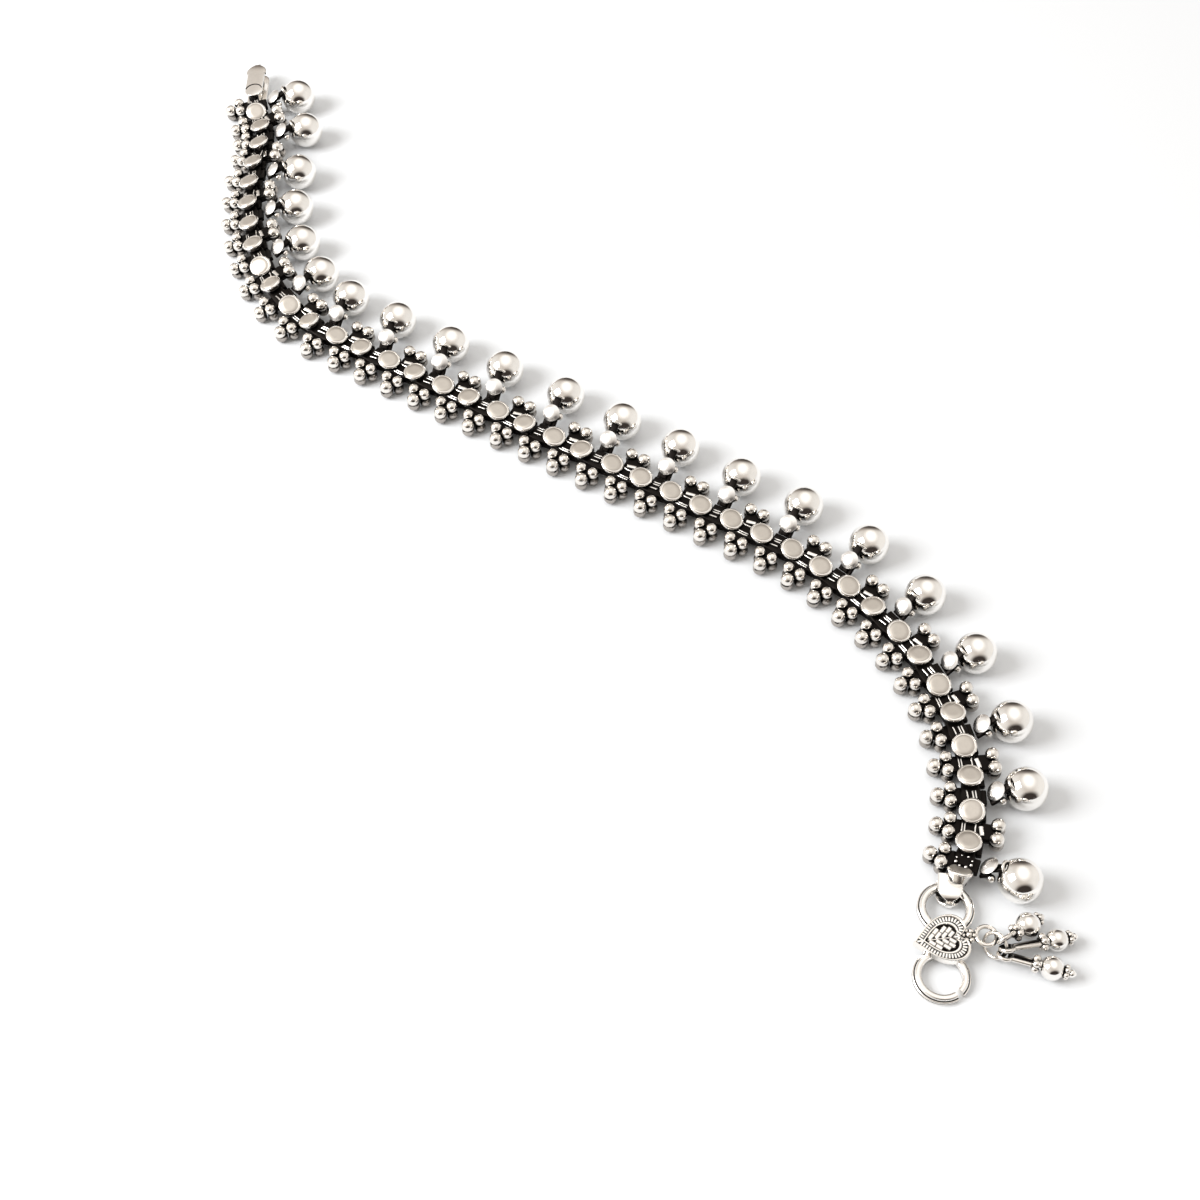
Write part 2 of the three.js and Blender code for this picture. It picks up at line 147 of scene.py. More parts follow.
def chain_frame(place):
    """The frame at a place counted in links: +X along the chain, +Y to the drops' side."""
    before = min(int(place), LINKS - 1)
    point = POINTS[before].lerp(POINTS[before + 1], place - before)
    roll = read(ROLLS, place)
    return (shift(point.x, point.y, lift(roll)) @ spin(read(LAY, place), "Z")
            @ spin(roll, "X"))


# Making nodes

def feed(tree, socket, value):
    """Gives a socket a plain value or another node's output."""
    if isinstance(value, bpy.types.NodeSocket):
        tree.links.new(value, socket)
    else:
        socket.default_value = value


def add(tree, kind, inputs, **settings):
    """A node with its settings, and with its inputs by their labels or numbers."""
    node = tree.nodes.new(kind)
    for label, value in settings.items():
        setattr(node, label, value)
    for label, value in inputs.items():
        feed(tree, node.inputs[label], value)
    return node


def new_tree(kind, name, inputs, outputs):
    """An empty tree with its sockets, and its input and output nodes."""
    tree = bpy.data.node_groups.new(name, kind)
    for label, holds, value in inputs:
        socket = tree.interface.new_socket(label, in_out="INPUT",
                                           socket_type="NodeSocket" + holds)
        if value is not None:
            socket.default_value = value
    for label, holds in outputs:
        tree.interface.new_socket(label, in_out="OUTPUT", socket_type="NodeSocket" + holds)
    return tree, tree.nodes.new("NodeGroupInput"), tree.nodes.new("NodeGroupOutput")


def math_node(tree, operation, *values):
    """A math node of numbers or other nodes' outputs."""
    return add(tree, "ShaderNodeMath", dict(enumerate(values)), operation=operation).outputs[0]


def noise_node(tree, vector, scale, detail=4.0):
    """A noise texture's factor, read at a vector."""
    return add(tree, "ShaderNodeTexNoise", {"Vector": vector, "Scale": scale, "Detail": detail,
                                            "Roughness": 0.55}).outputs["Fac"]


def smooth_step(tree, value, low, high):
    """A soft step from 0 at low to 1 at high."""
    return add(tree, "ShaderNodeMapRange", {"Value": value, "From Min": low, "From Max": high},
               interpolation_type="SMOOTHSTEP").outputs["Result"]


def mixed(tree, kind, factor, a, b):
    """A mix of two colours or two numbers, each a value or another node's output."""
    first, out = (6, 2) if kind == "RGBA" else (2, 0)
    return add(tree, "ShaderNodeMix", {0: factor, first: a, first + 1: b},
               data_type=kind).outputs[out]


def on_object(tree):
    """Coordinates in the object's own space."""
    return add(tree, "ShaderNodeTexCoord", {}).outputs["Object"]


def attribute(tree, name):
    """A value that the mesh carries at each point."""
    return add(tree, "ShaderNodeAttribute", {}, attribute_name=name).outputs["Fac"]


# Shader node groups, each built once and placed in the materials with its own values

def hollow_tarnish_group():
    """Black sulphide in the hollows: a mask that grows with how closed in a point is, and that
    breaks up over a noise."""
    tree, given, put = new_tree("ShaderNodeTree", "Tarnish in the hollows",
                                [("Clear", "Float", 0.25), ("Black", "Float", 0.6),
                                 ("Breakup", "Float", 0.25), ("Scale", "Float", 900.0)],
                                [("Mask", "Float")])
    grain = noise_node(tree, on_object(tree), given.outputs["Scale"])
    uneven = math_node(tree, "MULTIPLY", math_node(tree, "SUBTRACT", grain, 0.5),
                       given.outputs["Breakup"])
    depth = math_node(tree, "ADD", attribute(tree, "hollow"), uneven)
    feed(tree, put.inputs["Mask"],
         smooth_step(tree, depth, given.outputs["Clear"], given.outputs["Black"]))
    return tree


def handling_marks_group():
    """Fine scratches and a cloudy film from handling: a height and a roughness change."""
    tree, given, put = new_tree("ShaderNodeTree", "Handling marks",
                                [("Scratch scale", "Float", 700.0),
                                 ("Cloud scale", "Float", 260.0)],
                                [("Height", "Float"), ("Cloud", "Float")])
    where = on_object(tree)
    heights = []
    for turn in (25, 115, 70):
        mapping = add(tree, "ShaderNodeMapping", {
            "Vector": where, "Rotation": (rad(20), rad(15), rad(turn)),
            "Scale": (1.0, 0.06, 1.0)})
        lines = noise_node(tree, mapping.outputs["Vector"], given.outputs["Scratch scale"],
                           detail=2.0)
        heights.append(smooth_step(tree, lines, 0.62, 0.70))
    deepest = math_node(tree, "MAXIMUM", math_node(tree, "MAXIMUM", *heights[:2]), heights[2])
    feed(tree, put.inputs["Height"], math_node(tree, "SUBTRACT", 1.0, deepest))
    cloud = noise_node(tree, where, given.outputs["Cloud scale"])
    feed(tree, put.inputs["Cloud"], smooth_step(tree, cloud, 0.35, 0.7))
    return tree


TARNISH = hollow_tarnish_group()
MARKS = handling_marks_group()

# The sulphide's colour and roughness, how much rougher the film is, and the scratches' depth
SULPHIDE = (0.013, 0.011, 0.010, 1)
SULPHIDE_ROUGH = 0.45
FILM_ROUGH = 0.08
SCRATCH_DEPTH = 0.00001


def darker(colour, share):
    """A colour at a share of its brightness."""
    return [c * share for c in colour[:3]] + [1]


def silver(name, colour, roughness, clear, black, satin=None):
    """A silver finish: black in the hollows from clear to black, handling marks, and a satin
    part of its own colour and roughness where the mesh has one."""
    material = bpy.data.materials.new(name)
    material.use_nodes = True
    tree = material.node_tree
    shader = tree.nodes["Principled BSDF"]
    shader.inputs["Metallic"].default_value = 1.0
    marks = add(tree, "ShaderNodeGroup", {}, node_tree=MARKS)
    film = marks.outputs["Cloud"]
    tint = mixed(tree, "RGBA", film, colour, darker(colour, 0.93))
    rough = mixed(tree, "FLOAT", film, roughness, roughness + FILM_ROUGH)
    if satin:
        face = attribute(tree, "satin")
        grain = noise_node(tree, on_object(tree), 2600.0)
        matt = mixed(tree, "RGBA", grain, satin[0], darker(satin[0], 0.86))
        tint = mixed(tree, "RGBA", face, tint, matt)
        rough = mixed(tree, "FLOAT", face, rough, satin[1])
    black_mask = add(tree, "ShaderNodeGroup", {"Clear": clear, "Black": black},
                     node_tree=TARNISH).outputs["Mask"]
    bump = add(tree, "ShaderNodeBump", {"Distance": SCRATCH_DEPTH, "Strength": 0.35,
                                        "Height": marks.outputs["Height"]})
    feed(tree, shader.inputs["Base Color"], mixed(tree, "RGBA", black_mask, tint, SULPHIDE))
    feed(tree, shader.inputs["Roughness"],
         mixed(tree, "FLOAT", black_mask, rough, SULPHIDE_ROUGH))
    feed(tree, shader.inputs["Normal"], bump.outputs["Normal"])
    return material


POLISHED = silver("polished_silver", (0.95, 0.925, 0.89, 1), 0.06, clear=0.42, black=0.8)
BUTTONS = silver("button_silver", (0.93, 0.90, 0.86, 1), 0.12, clear=0.28, black=0.5,
                 satin=((0.62, 0.575, 0.52, 1), 0.48))
GRANULES = silver("granule_silver", (0.86, 0.82, 0.77, 1), 0.16, clear=0.27, black=0.52)
# A darker copy of the granule silver for the lower ball of each stack: painted shade under the
# upper balls
SHADED = silver("shaded_silver", (0.42, 0.39, 0.36, 1), 0.24, clear=0.12, black=0.45)
DOMES = silver("dome_silver", (0.86, 0.84, 0.82, 1), 0.26, clear=0.80, black=1.2)
RELIEF = silver("relief_silver", (0.93, 0.90, 0.86, 1), 0.16, clear=0.70, black=1.0)
OXIDISED = silver("oxidised_silver", (0.022, 0.019, 0.017, 1), 0.52, clear=0.05, black=0.35)
FITTINGS = silver("fitting_silver", (0.95, 0.925, 0.89, 1), 0.10, clear=0.27, black=0.5)


# Geometry node trees

def geometry_tree(name, *inputs):
    """An empty geometry tree with its named inputs, and its input and output nodes."""
    return new_tree("GeometryNodeTree", name,
                    [("Geometry", "Geometry", None), *inputs, ("Material", "Material", None)],
                    [("Geometry", "Geometry")])


def finish_tree(tree, given, put, geometry):
    """Ends a tree: the instances are made real and take the material."""
    real = add(tree, "GeometryNodeRealizeInstances", {"Geometry": geometry})
    coat = add(tree, "GeometryNodeSetMaterial", {"Geometry": real.outputs["Geometry"],
                                                 "Material": given.outputs["Material"]})
    feed(tree, put.inputs["Geometry"], coat.outputs["Geometry"])


def row_tree():
    """Sets a shape on each point, turned and sized as the point's attributes say, with a little
    hand-made unevenness."""
    tree, given, put = geometry_tree(
        "Set a shape on each place", ("Shape", "Object", None), ("Uneven size", "Float", 0.0),
        ("Uneven turn", "Float", 0.0), ("Seed", "Int", 1))
    shape = add(tree, "GeometryNodeObjectInfo", {"Object": given.outputs["Shape"]})
    turn = add(tree, "GeometryNodeInputNamedAttribute", {"Name": "turn"},
               data_type="FLOAT_VECTOR")
    size = add(tree, "GeometryNodeInputNamedAttribute", {"Name": "size"}, data_type="FLOAT")
    rotation = add(tree, "FunctionNodeEulerToRotation", {0: turn.outputs["Attribute"]})
    amount = given.outputs["Uneven size"]
    uneven = add(tree, "FunctionNodeRandomValue", {
        2: math_node(tree, "SUBTRACT", 1.0, amount), 3: math_node(tree, "ADD", 1.0, amount),
        "Seed": given.outputs["Seed"]}, data_type="FLOAT")
    scale = math_node(tree, "MULTIPLY", size.outputs["Attribute"], uneven.outputs[1])
    set_on = add(tree, "GeometryNodeInstanceOnPoints", {
        "Points": given.outputs["Geometry"], "Instance": shape.outputs["Geometry"],
        "Rotation": rotation.outputs[0], "Scale": scale})
    lean = add(tree, "FunctionNodeRandomValue", {
        0: (-1, -1, -1), 1: (1, 1, 1), "Seed": given.outputs["Seed"]}, data_type="FLOAT_VECTOR")
    leaning = add(tree, "ShaderNodeVectorMath", {
        0: lean.outputs[0], "Scale": given.outputs["Uneven turn"]}, operation="SCALE")
    turned_on = add(tree, "GeometryNodeRotateInstances", {
        "Instances": set_on.outputs["Instances"], "Rotation": leaning.outputs[0]})
    finish_tree(tree, given, put, turned_on.outputs["Instances"])
    return tree


def wire_tree():
    """Runs a round wire along the edges of a mesh."""
    tree, given, put = geometry_tree("Wire along lines", ("Radius", "Float", 0.2),
                                     ("Sides", "Int", 10))
    curve = add(tree, "GeometryNodeMeshToCurve", {0: given.outputs["Geometry"]})
    section = add(tree, "GeometryNodeCurvePrimitiveCircle", {
        "Resolution": given.outputs["Sides"], "Radius": given.outputs["Radius"]})
    sweep = add(tree, "GeometryNodeCurveToMesh", {
        "Curve": curve.outputs[0], "Profile Curve": section.outputs["Curve"],
        "Fill Caps": True})
    smooth = add(tree, "GeometryNodeSetShadeSmooth", {"Geometry": sweep.outputs["Mesh"]})
    finish_tree(tree, given, put, smooth.outputs["Geometry"])
    return tree


def hatch_tree():
    """Sets short bars across a line at an even spacing."""
    tree, given, put = geometry_tree(
        "Hatch across a line", ("Count", "Int", 40), ("Long", "Float", 0.5),
        ("Wide", "Float", 0.15), ("High", "Float", 0.15))
    curve = add(tree, "GeometryNodeMeshToCurve", {0: given.outputs["Geometry"]})
    even = add(tree, "GeometryNodeResampleCurve", {
        "Curve": curve.outputs[0], "Count": given.outputs["Count"]})
    size = add(tree, "ShaderNodeCombineXYZ", {
        axis: given.outputs[label] for axis, label in enumerate(("Wide", "Long", "High"))})
    stroke = add(tree, "GeometryNodeMeshCube", {"Size": size.outputs[0]})
    tangent = add(tree, "GeometryNodeInputTangent", {})
    align = add(tree, "FunctionNodeAlignRotationToVector", {"Vector": tangent.outputs[0]},
                axis="X")
    set_on = add(tree, "GeometryNodeInstanceOnPoints", {
        "Points": even.outputs[0], "Instance": stroke.outputs["Mesh"],
        "Rotation": align.outputs[0]})
    finish_tree(tree, given, put, set_on.outputs["Instances"])
    return tree


ROW = row_tree()
WIRE = wire_tree()
HATCH = hatch_tree()


# Making meshes, in millimetres

def new_object(name, mesh):
    """An object of this data in the scene."""
    obj = bpy.data.objects.new(name, mesh)
    bpy.context.scene.collection.objects.link(obj)
    return obj


def mesh_from(name, vertices, faces, material=None, sharp=38):
    """An object of closed shells whose faces look outwards, smooth apart from its sharp edges."""
    mesh = bpy.data.meshes.new(name)
    mesh.from_pydata([tuple(v) for v in vertices], [], faces)
    form = bmesh.new()
    form.from_mesh(mesh)
    bmesh.ops.recalc_face_normals(form, faces=form.faces)
    form.to_mesh(mesh)
    form.free()
    mesh.shade_smooth()
    mesh.set_sharp_from_angle(angle=rad(sharp))
    if material:
        mesh.materials.append(material)
    return new_object(name, mesh)


def lofted(name, rings, material=None, closed=False, sharp=38):
    """A skin over rings of points. A ring of one point is a pole, and closed joins the last ring
    to the first."""
    vertices, starts = [], []
    for ring in rings:
        starts.append(len(vertices))
        vertices.extend(ring)
    faces = []
    pairs = list(zip(range(len(rings)), range(1, len(rings))))
    if closed:
        pairs.append((len(rings) - 1, 0))
    for a, b in pairs:
        low, high = rings[a], rings[b]
        count = max(len(low), len(high))
        for i in range(count):
            j = (i + 1) % count
            if len(low) == 1:
                faces.append((starts[a], starts[b] + j, starts[b] + i))
            elif len(high) == 1:
                faces.append((starts[a] + i, starts[a] + j, starts[b]))
            else:
                faces.append((starts[a] + i, starts[a] + j, starts[b] + j, starts[b] + i))
    if not closed:
        for index, ring in ((0, rings[0]), (len(rings) - 1, rings[-1])):
            if len(ring) > 1:
                faces.append(tuple(starts[index] + i for i in range(len(ring))))
    return mesh_from(name, vertices, faces, material, sharp)


def turned(name, profile, sides, material=None, sharp=38):
    """A turned body about +Z from rows of radius and height, from the bottom to the top."""
    rings = []
    for radius, height in profile:
        if radius == 0:
            rings.append([(0, 0, height)])
        else:
            rings.append([(*polar(radius, 2 * math.pi * i / sides), height)
                          for i in range(sides)])
    return lofted(name, rings, material, sharp=sharp)


def swept_round(name, profile, sides, material=None, first=0.0, last=360.0, sharp=38):
    """A closed profile of radius and height swept round +Z, all the way or between two angles."""
    whole = last - first >= 360
    count = sides if whole else sides + 1
    rings = []
    for i in range(count):
        turn = rad(first + (last - first) * i / sides)
        rings.append([(*polar(radius, turn), height) for radius, height in profile])
    return lofted(name, rings, material, closed=whole, sharp=sharp)


def ball(name, radius, segments, rows, material=None):
    """A ball round the origin with its poles up and down."""
    profile = [(0, -radius)]
    for i in range(1, rows):
        turn = math.pi * i / rows
        profile.append((radius * math.sin(turn), -radius * math.cos(turn)))
    profile.append((0, radius))
    return turned(name, profile, segments, material, sharp=80)


def wire_ring(name, radius, wire, sides, around, material):
    """A ring of round wire about +Z."""
    profile = [(radius + wire * math.cos(2 * math.pi * i / around),
                wire * math.sin(2 * math.pi * i / around)) for i in range(around)]
    return swept_round(name, profile, sides, material, sharp=80)


def rounded_section(width, height, corner):
    """The points of a rounded rectangle round the origin."""
    steps = 3
    points = []
    for index, (x, y) in enumerate(((1, 1), (-1, 1), (-1, -1), (1, -1))):
        for step in range(steps + 1):
            turn = rad(90 * (index + step / steps))
            points.append((x * (width / 2 - corner) + corner * math.cos(turn),
                           y * (height / 2 - corner) + corner * math.sin(turn)))
    return points


def bar(name, length, width, height, corner, material=None):
    """A bar along X with rounded long edges and slightly rounded ends."""
    rings = []
    for x, scale in ((-0.5, 0.8), (-0.47, 1), (0.47, 1), (0.5, 0.8)):
        rings.append([(x * length, y * scale, z * scale)
                      for y, z in rounded_section(width, height, corner)])
    return lofted(name, rings, material)


def placed(obj, matrix):
    """The object's mesh moved by a matrix."""
    obj.data.transform(matrix)
    return obj


def grown(obj, tree, **values):
    """The plain mesh that a geometry tree makes of an object, in a new object."""
    modifier = obj.modifiers.new(tree.name, "NODES")
    modifier.node_group = tree
    names = {item.name: item.identifier for item in tree.interface.items_tree
             if item.in_out == "INPUT"}
    for label, value in values.items():
        modifier[names[label.replace("_", " ")]] = value
    bpy.context.view_layer.update()
    made = bpy.data.meshes.new_from_object(
        obj.evaluated_get(bpy.context.evaluated_depsgraph_get()))
    obj.modifiers.clear()
    made.name = obj.name
    fresh = new_object(obj.name, made)
    bpy.data.objects.remove(obj)
    return fresh


def mark(mesh, name, values):
    """Gives each point of a mesh its value."""
    mesh.attributes.new(name, "FLOAT", "POINT").data.foreach_set("value", values)


def places_mesh(name, rows):
    """A mesh of single points, each with the turn and size that its shape gets."""
    mesh = bpy.data.meshes.new(name)
    mesh.from_pydata([matrix.to_translation() for matrix, _ in rows], [], [])
    turns = [angle for matrix, _ in rows for angle in matrix.to_euler()]
    mesh.attributes.new("turn", "FLOAT_VECTOR", "POINT").data.foreach_set("vector", turns)
    mark(mesh, "size", [size for _, size in rows])
    return new_object(name, mesh)


def in_row(name, shape, rows, material, uneven=0.0, lean=0.0, seed=1):
    """Copies of a shape at rows of (matrix, size), made by the geometry tree."""
    return grown(places_mesh(name, rows), ROW, Shape=shape, Uneven_size=uneven,
                 Uneven_turn=lean, Seed=seed, Material=material)


def lines_mesh(name, lines):
    """A mesh of loose lines; a line whose last point is its first is closed."""
    vertices, edges = [], []
    for line in lines:
        start = len(vertices)
        ring = len(line) > 2 and (Vector(line[0]) - Vector(line[-1])).length < 1e-6
        points = line[:-1] if ring else line
        vertices.extend(tuple(point) for point in points)
        edges.extend((start + i, start + i + 1) for i in range(len(points) - 1))
        if ring:
            edges.append((start + len(points) - 1, start))
    mesh = bpy.data.meshes.new(name)
    mesh.from_pydata(vertices, edges, [])
    return new_object(name, mesh)


def wires(name, lines, radius, material, sides):
    """Round wires along lines."""
    return grown(lines_mesh(name, lines), WIRE, Radius=radius, Sides=sides, Material=material)


def joined(name, parts):
    """Several objects as one."""
    with bpy.context.temp_override(active_object=parts[0], object=parts[0],
                                   selected_editable_objects=parts, selected_objects=parts):
        bpy.ops.object.join()
    parts[0].name = name
    parts[0].data.name = name
    return parts[0]


PIECES = []


def finished(piece, nodes):
    """A finished piece: in metres, riding on the body, in place of the CAD nodes."""
    piece.data.transform(MM)
    PIECES.append(piece)
    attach(piece, "root")
    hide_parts(*nodes)


def spread(count):
    """Directions spread evenly over the upper half of a ball, more of them near its pole."""
    golden = math.pi * (3 - math.sqrt(5))
    return [Vector((*polar(math.sqrt((i + 0.5) / count), golden * i),
                    math.sqrt(1 - (i + 0.5) / count))) for i in range(count)]


def mark_hollows():
    """Gives each point of the pieces a value from 0, in the open, to 1, closed in all round."""
    vertices, faces = [], []
    for piece in PIECES:
        first = len(vertices)
        vertices.extend(vertex.co for vertex in piece.data.vertices)
        faces.extend([first + i for i in face.vertices] for face in piece.data.polygons)
    tree = BVHTree.FromPolygons(vertices, faces)
    directions = spread(HOLLOW_RAYS)
    for piece in PIECES:
        values = []
        for vertex in piece.data.vertices:
            normal = vertex.normal
            turn = normal.to_track_quat("Z", "Y").to_matrix()
            start = vertex.co + normal * 0.00004
            closed = 0.0
            for direction in directions:
                distance = tree.ray_cast(start, turn @ direction, HOLLOW_REACH)[3]
                if distance is not None:
                    closed += 1 - 0.6 * distance / HOLLOW_REACH
            values.append(closed / HOLLOW_RAYS)
        mark(piece.data, "hollow", values)


def remove(*shapes):
    """Takes away shapes that have only been copied."""
    for shape in shapes:
        bpy.data.objects.remove(shape)


# The chain

# Dark webs under the chain, dark metal that joins the parts and also stands as painted shade
# where the table would show between them: along, across and height beside a place, and size
OUTER_WEB = (0, -2.55, 2.05, 1)
BUTTON_WEB = (0, 1.25, 1.85, 0.8)
ODD_WEB = (0, 1.4, 1.9, 0.85)
PAIR_WEB = (0, 2.9, 1.9, 1)

# Where the short strokes between two buttons lie across the chain, on odd and even links
ODD_STROKES = (-0.55, 0.3, 0.75)
PAIR_STROKES = (-1.25, -0.85, 0.75)

# The small plate's place across, where the arms leave the body, and the beads' ring and size
PLATE_ACROSS = 0.1
ARM_START = 1.2
BEAD_RING = 1.25
BEAD_SIZE = 0.25


def button_shape():
    """A button from its narrow foot to its satin face, with a fine line turned near the edge."""
    shape = turned("button", [
        (0, -0.8), (1.15, -0.8), (1.3, -0.35), (1.96, 1.0), (2.04, 1.12), (2.05, 1.2),
        (2.01, 1.30), (1.93, 1.39), (1.83, 1.46), (1.72, 1.5), (1.64, 1.5), (1.60, 1.46),
        (1.56, 1.5), (0.9, 1.495), (0, 1.49)], 28, sharp=50)
    face_low, face_r = 1.4, 1.65
    mark(shape.data, "satin", [float(vertex.co.z > face_low and vertex.co.xy.length < face_r)
                               for vertex in shape.data.vertices])
    return shape


def button_place(link):
    """Where a button stands, nodding along the chain."""
    row = stretch(NODS, link)
    return (chain_frame(link) @ shift(0, 0, BUTTON_FOOT)
            @ spin(row[1] if link % 2 else row[2], "Y"))


def grain_columns(link):
    """The granule columns at the place before a link; every second place has a pair more."""
    return TREFOIL if link % 2 else TREFOIL + PAIR


def body_rings(first, last):
    """Sections of the dark body under the links, waisted under each button."""
    section = rounded_section(2 * SPINE_HALF, SPINE_HIGH - SPINE_LOW, 0.45)
    start = BODY_START if first == 1 else first - 1 + BODY_RESUMES
    end = last if last == LINKS else last + BODY_STOPS
    rings = []
    steps = round((end - start) * SECTIONS)
    for i in range(steps + 1):
        place = start + (end - start) * i / steps
        waist = 0.88 + 0.12 * math.cos(2 * math.pi * (place - 0.5))
        matrix = chain_frame(place) @ shift(0, 0, (SPINE_LOW + SPINE_HIGH) / 2)
        rings.append([matrix @ Vector((0, y * waist, z)) for y, z in section])
    return rings


# The strips that both bails are folded from: their sheet and the gap between the leaves
SHEET = 0.55
LEAF_GAP = 2.0
BEND_R = LEAF_GAP / 2 + SHEET


def fold(place, length, width, low, lower_start, narrowing, tongue=None):
    """A strip folded into two leaves, +X towards the bend, that rounds off as it bends. Its
    narrowing is the least share of the width that is left, and how far past the bend's start
    the round end would close. The upper leaf has a rounded tongue where one is given, as its
    width and how far it reaches."""
    mid = LEAF_GAP / 2 + SHEET / 2
    bend_at = length - BEND_R
    bend_share, past_bend = narrowing
    turn_at = bend_at + past_bend - width / 2
    flat = [turn_at + (bend_at - turn_at) * i / 4 for i in range(4)]

    def narrowed(x):
        past = min(1, max(0, x - turn_at) / (width / 2))
        return width * max(bend_share, math.sqrt(1 - past * past))

    line = [(lower_start, -mid, width), (lower_start + 0.06, -mid, width)]
    line += [(x, -mid, narrowed(x)) for x in [lower_start + 1] + flat]
    line += [(bend_at + mid * math.cos(rad(t)), mid * math.sin(rad(t)),
              narrowed(bend_at + mid * math.cos(rad(t))))
             for t in range(-90, 91, 10)]
    line += [(x, mid, narrowed(x)) for x in reversed(flat)]
    if tongue:
        wide, reach = tongue
        radius = wide / 2
        line += [(reach, mid, width), (reach - 0.02, mid, wide), (radius, mid, wide)]
        line += [(radius - radius * math.sin(rad(t)), mid, 2 * radius * math.cos(rad(t)))
                 for t in (15, 30, 45, 58, 70, 80, 86)]
    else:
        line += [(1, mid, width), (0, mid, width)]
    rings = []
    for i, (x, z, wide) in enumerate(line):
        a = line[max(i - 1, 0)]
        b = line[min(i + 1, len(line) - 1)]
        along = Vector((b[0] - a[0], 0, b[1] - a[1])).normalized()
        up = Vector((-along.z, 0, along.x))
        rings.append([Vector((x, y, z + low + BEND_R)) + up * t
                      for y, t in rounded_section(wide, SHEET, min(0.2, wide / 4))])
    return [[place @ point for point in ring] for ring in rings]


def clasp_bail():
    """The short folded strip over the last link."""
    place = shift(55.85, -86.98, 0) @ spin(-97, "Z")
    return lofted("clasp_bail", fold(place, length=4.7, width=3.8, low=0.02, lower_start=0,
                                     narrowing=(0.3, 1.05)), FITTINGS)


def start_tab():
    """The dark bar from the first link to the bail at the free end."""
    return placed(bar("tab", 3.4, 2.0, 1.1, 0.3, OXIDISED),
                  chain_frame(0.5) @ shift(-1.7, 0, MID_Z))


def beside(spot, along, across, height, size=1):
    """A shape's place and size beside a spot on the chain."""
    return spot @ shift(along, across, height), size


def chain_half(first, last, node, shapes):
    """One half of the chain in three pieces: its buttons, its granules and its dark body."""
    links = range(first, last + 1)
    buttons = in_row("buttons", shapes["button"], [(button_place(k), 1) for k in links],
                     BUTTONS, uneven=0.012, lean=0.02, seed=first)
    grains, low_grains, arms, plates, beads, hairs, tabs, webs = [], [], [], [], [], [], [], []
    for link in links:
        spot = chain_frame(link - 0.5)
        for along, across, radius, half in grain_columns(link):
            for rows, end in ((low_grains, -1), (grains, 1)):
                rows.append(beside(spot, along, across, MID_Z + end * (half - radius), radius))
            inner = math.copysign(ARM_START, across)
            arms.append([spot @ Vector((along, y, MID_Z)) for y in (inner, across)])
        webs.append(beside(spot, *OUTER_WEB))
        if link < LINKS:
            webs.append(beside(chain_frame(link), *BUTTON_WEB))
        if link % 2:
            plates.append(beside(spot, 0, PLATE_ACROSS, SPINE_HIGH + 0.05))
            if link == LINKS:
                for i in range(8):
                    turn = math.pi * (i + 0.5) / 4
                    beads.append(beside(spot, math.cos(turn),
                                        PLATE_ACROSS + BEAD_RING * math.sin(turn),
                                        SPINE_HIGH + 0.02, BEAD_SIZE))
            else:
                for across in ODD_STROKES:
                    hairs.append([spot @ Vector((x, across + 0.12 * x, SPINE_HIGH + 0.27))
                                  for x in (-0.7, 0, 0.7)])
            webs.append(beside(spot, *ODD_WEB))
        else:
            for across in PAIR_STROKES:
                hairs.append([spot @ Vector((x, across + 0.1 * abs(x), SPINE_HIGH + 0.05))
                              for x in (-1.1, -0.5, 0.5, 1.1)])
            tabs.append((spot @ shift(0.2, 1.75, SPINE_HIGH - 0.1) @ spin(12, "Z"), 1))
            webs.append(beside(spot, *PAIR_WEB))
    drop_arms = [[chain_frame(k - 0.5) @ Vector((0, y, MID_Z)) for y in (1.0, DROP_ARM)]
                 for k in links if k % 2]
    body = [
        lofted("body", body_rings(first, last), OXIDISED),
        in_row("plates", shapes["plate"], plates, OXIDISED, lean=0.05, seed=first),
        # The webs' dark colour is partly painted shade in the gaps between the parts
        in_row("webs", shapes["web"], webs, OXIDISED, lean=0.03, seed=first),
        in_row("tabs", shapes["tab"], tabs, FITTINGS, lean=0.06, seed=first),
        wires("hairs", hairs, 0.14, FITTINGS, 8),
        wires("arms", arms, 0.3, OXIDISED, 8),
        wires("drop_arms", drop_arms, 0.45, OXIDISED, 10),
    ]
    if beads:
        body.append(in_row("beads", shapes["bead"], beads, FITTINGS, uneven=0.35, seed=first))
    if first == 1:
        body.append(start_tab())
    finished(joined(node + "_buttons", [buttons]), [node])
    # The lower granules take the shaded silver, whose darker colour is painted shade
    finished(joined(node + "_granules", [
        in_row(name, shapes["grain"], rows, material, uneven=0.02, lean=0.3, seed=first)
        for name, rows, material in (("granules", grains, GRANULES),
                                     ("low_granules", low_grains, SHADED))]),
        [node])
    finished(joined(node + "_body", body), [node])


def make_chain():
    """Both halves of the chain, and the bail that the clasp's end carries."""
    shapes = {
        "button": button_shape(),
        "grain": ball("grain", 1, 14, 8),
        "bead": ball("bead", 1, 8, 5),
        "plate": bar("plate", 1.5, 1.6, 0.4, 0.15),
        "web": bar("web", 2.9, 2.5, 1.25, 0.3),
        "tab": bar("tab", 1.7, 0.75, 0.5, 0.2),
    }
    chain_half(1, MEET, "chain_upper", shapes)
    chain_half(MEET + 1, LINKS, "chain_lower", shapes)
    remove(*shapes.values())
    finished(clasp_bail(), ["chain_lower"])


# The drops

# The ball, where the strip starts past the short arm, how steeply it meets the ball and how
# deep it enters it, and the least tilt of the small disc on it
BALL_R = 3.43
STRIP_START = 0.57
STEM_RISE = 40
STEM_SINK = 0.3
DISC_TILT = 38

# The small disc as rows of radius and height: a dark cup and the dome over it
CUP = [(0, 0), (0.9, 0.2), (1.4, 0.5), (1.5, 0.64), (1.42, 0.7), (0, 0.7)]
DOME = [(0, 0.62), (1.48, 0.62), (1.55, 0.68), (1.54, 0.76), (1.47, 0.81), (1.36, 0.85),
        (1.27, 0.90), (1.14, 0.97), (0.95, 1.05), (0.6, 1.13), (0.25, 1.16), (0, 1.165)]


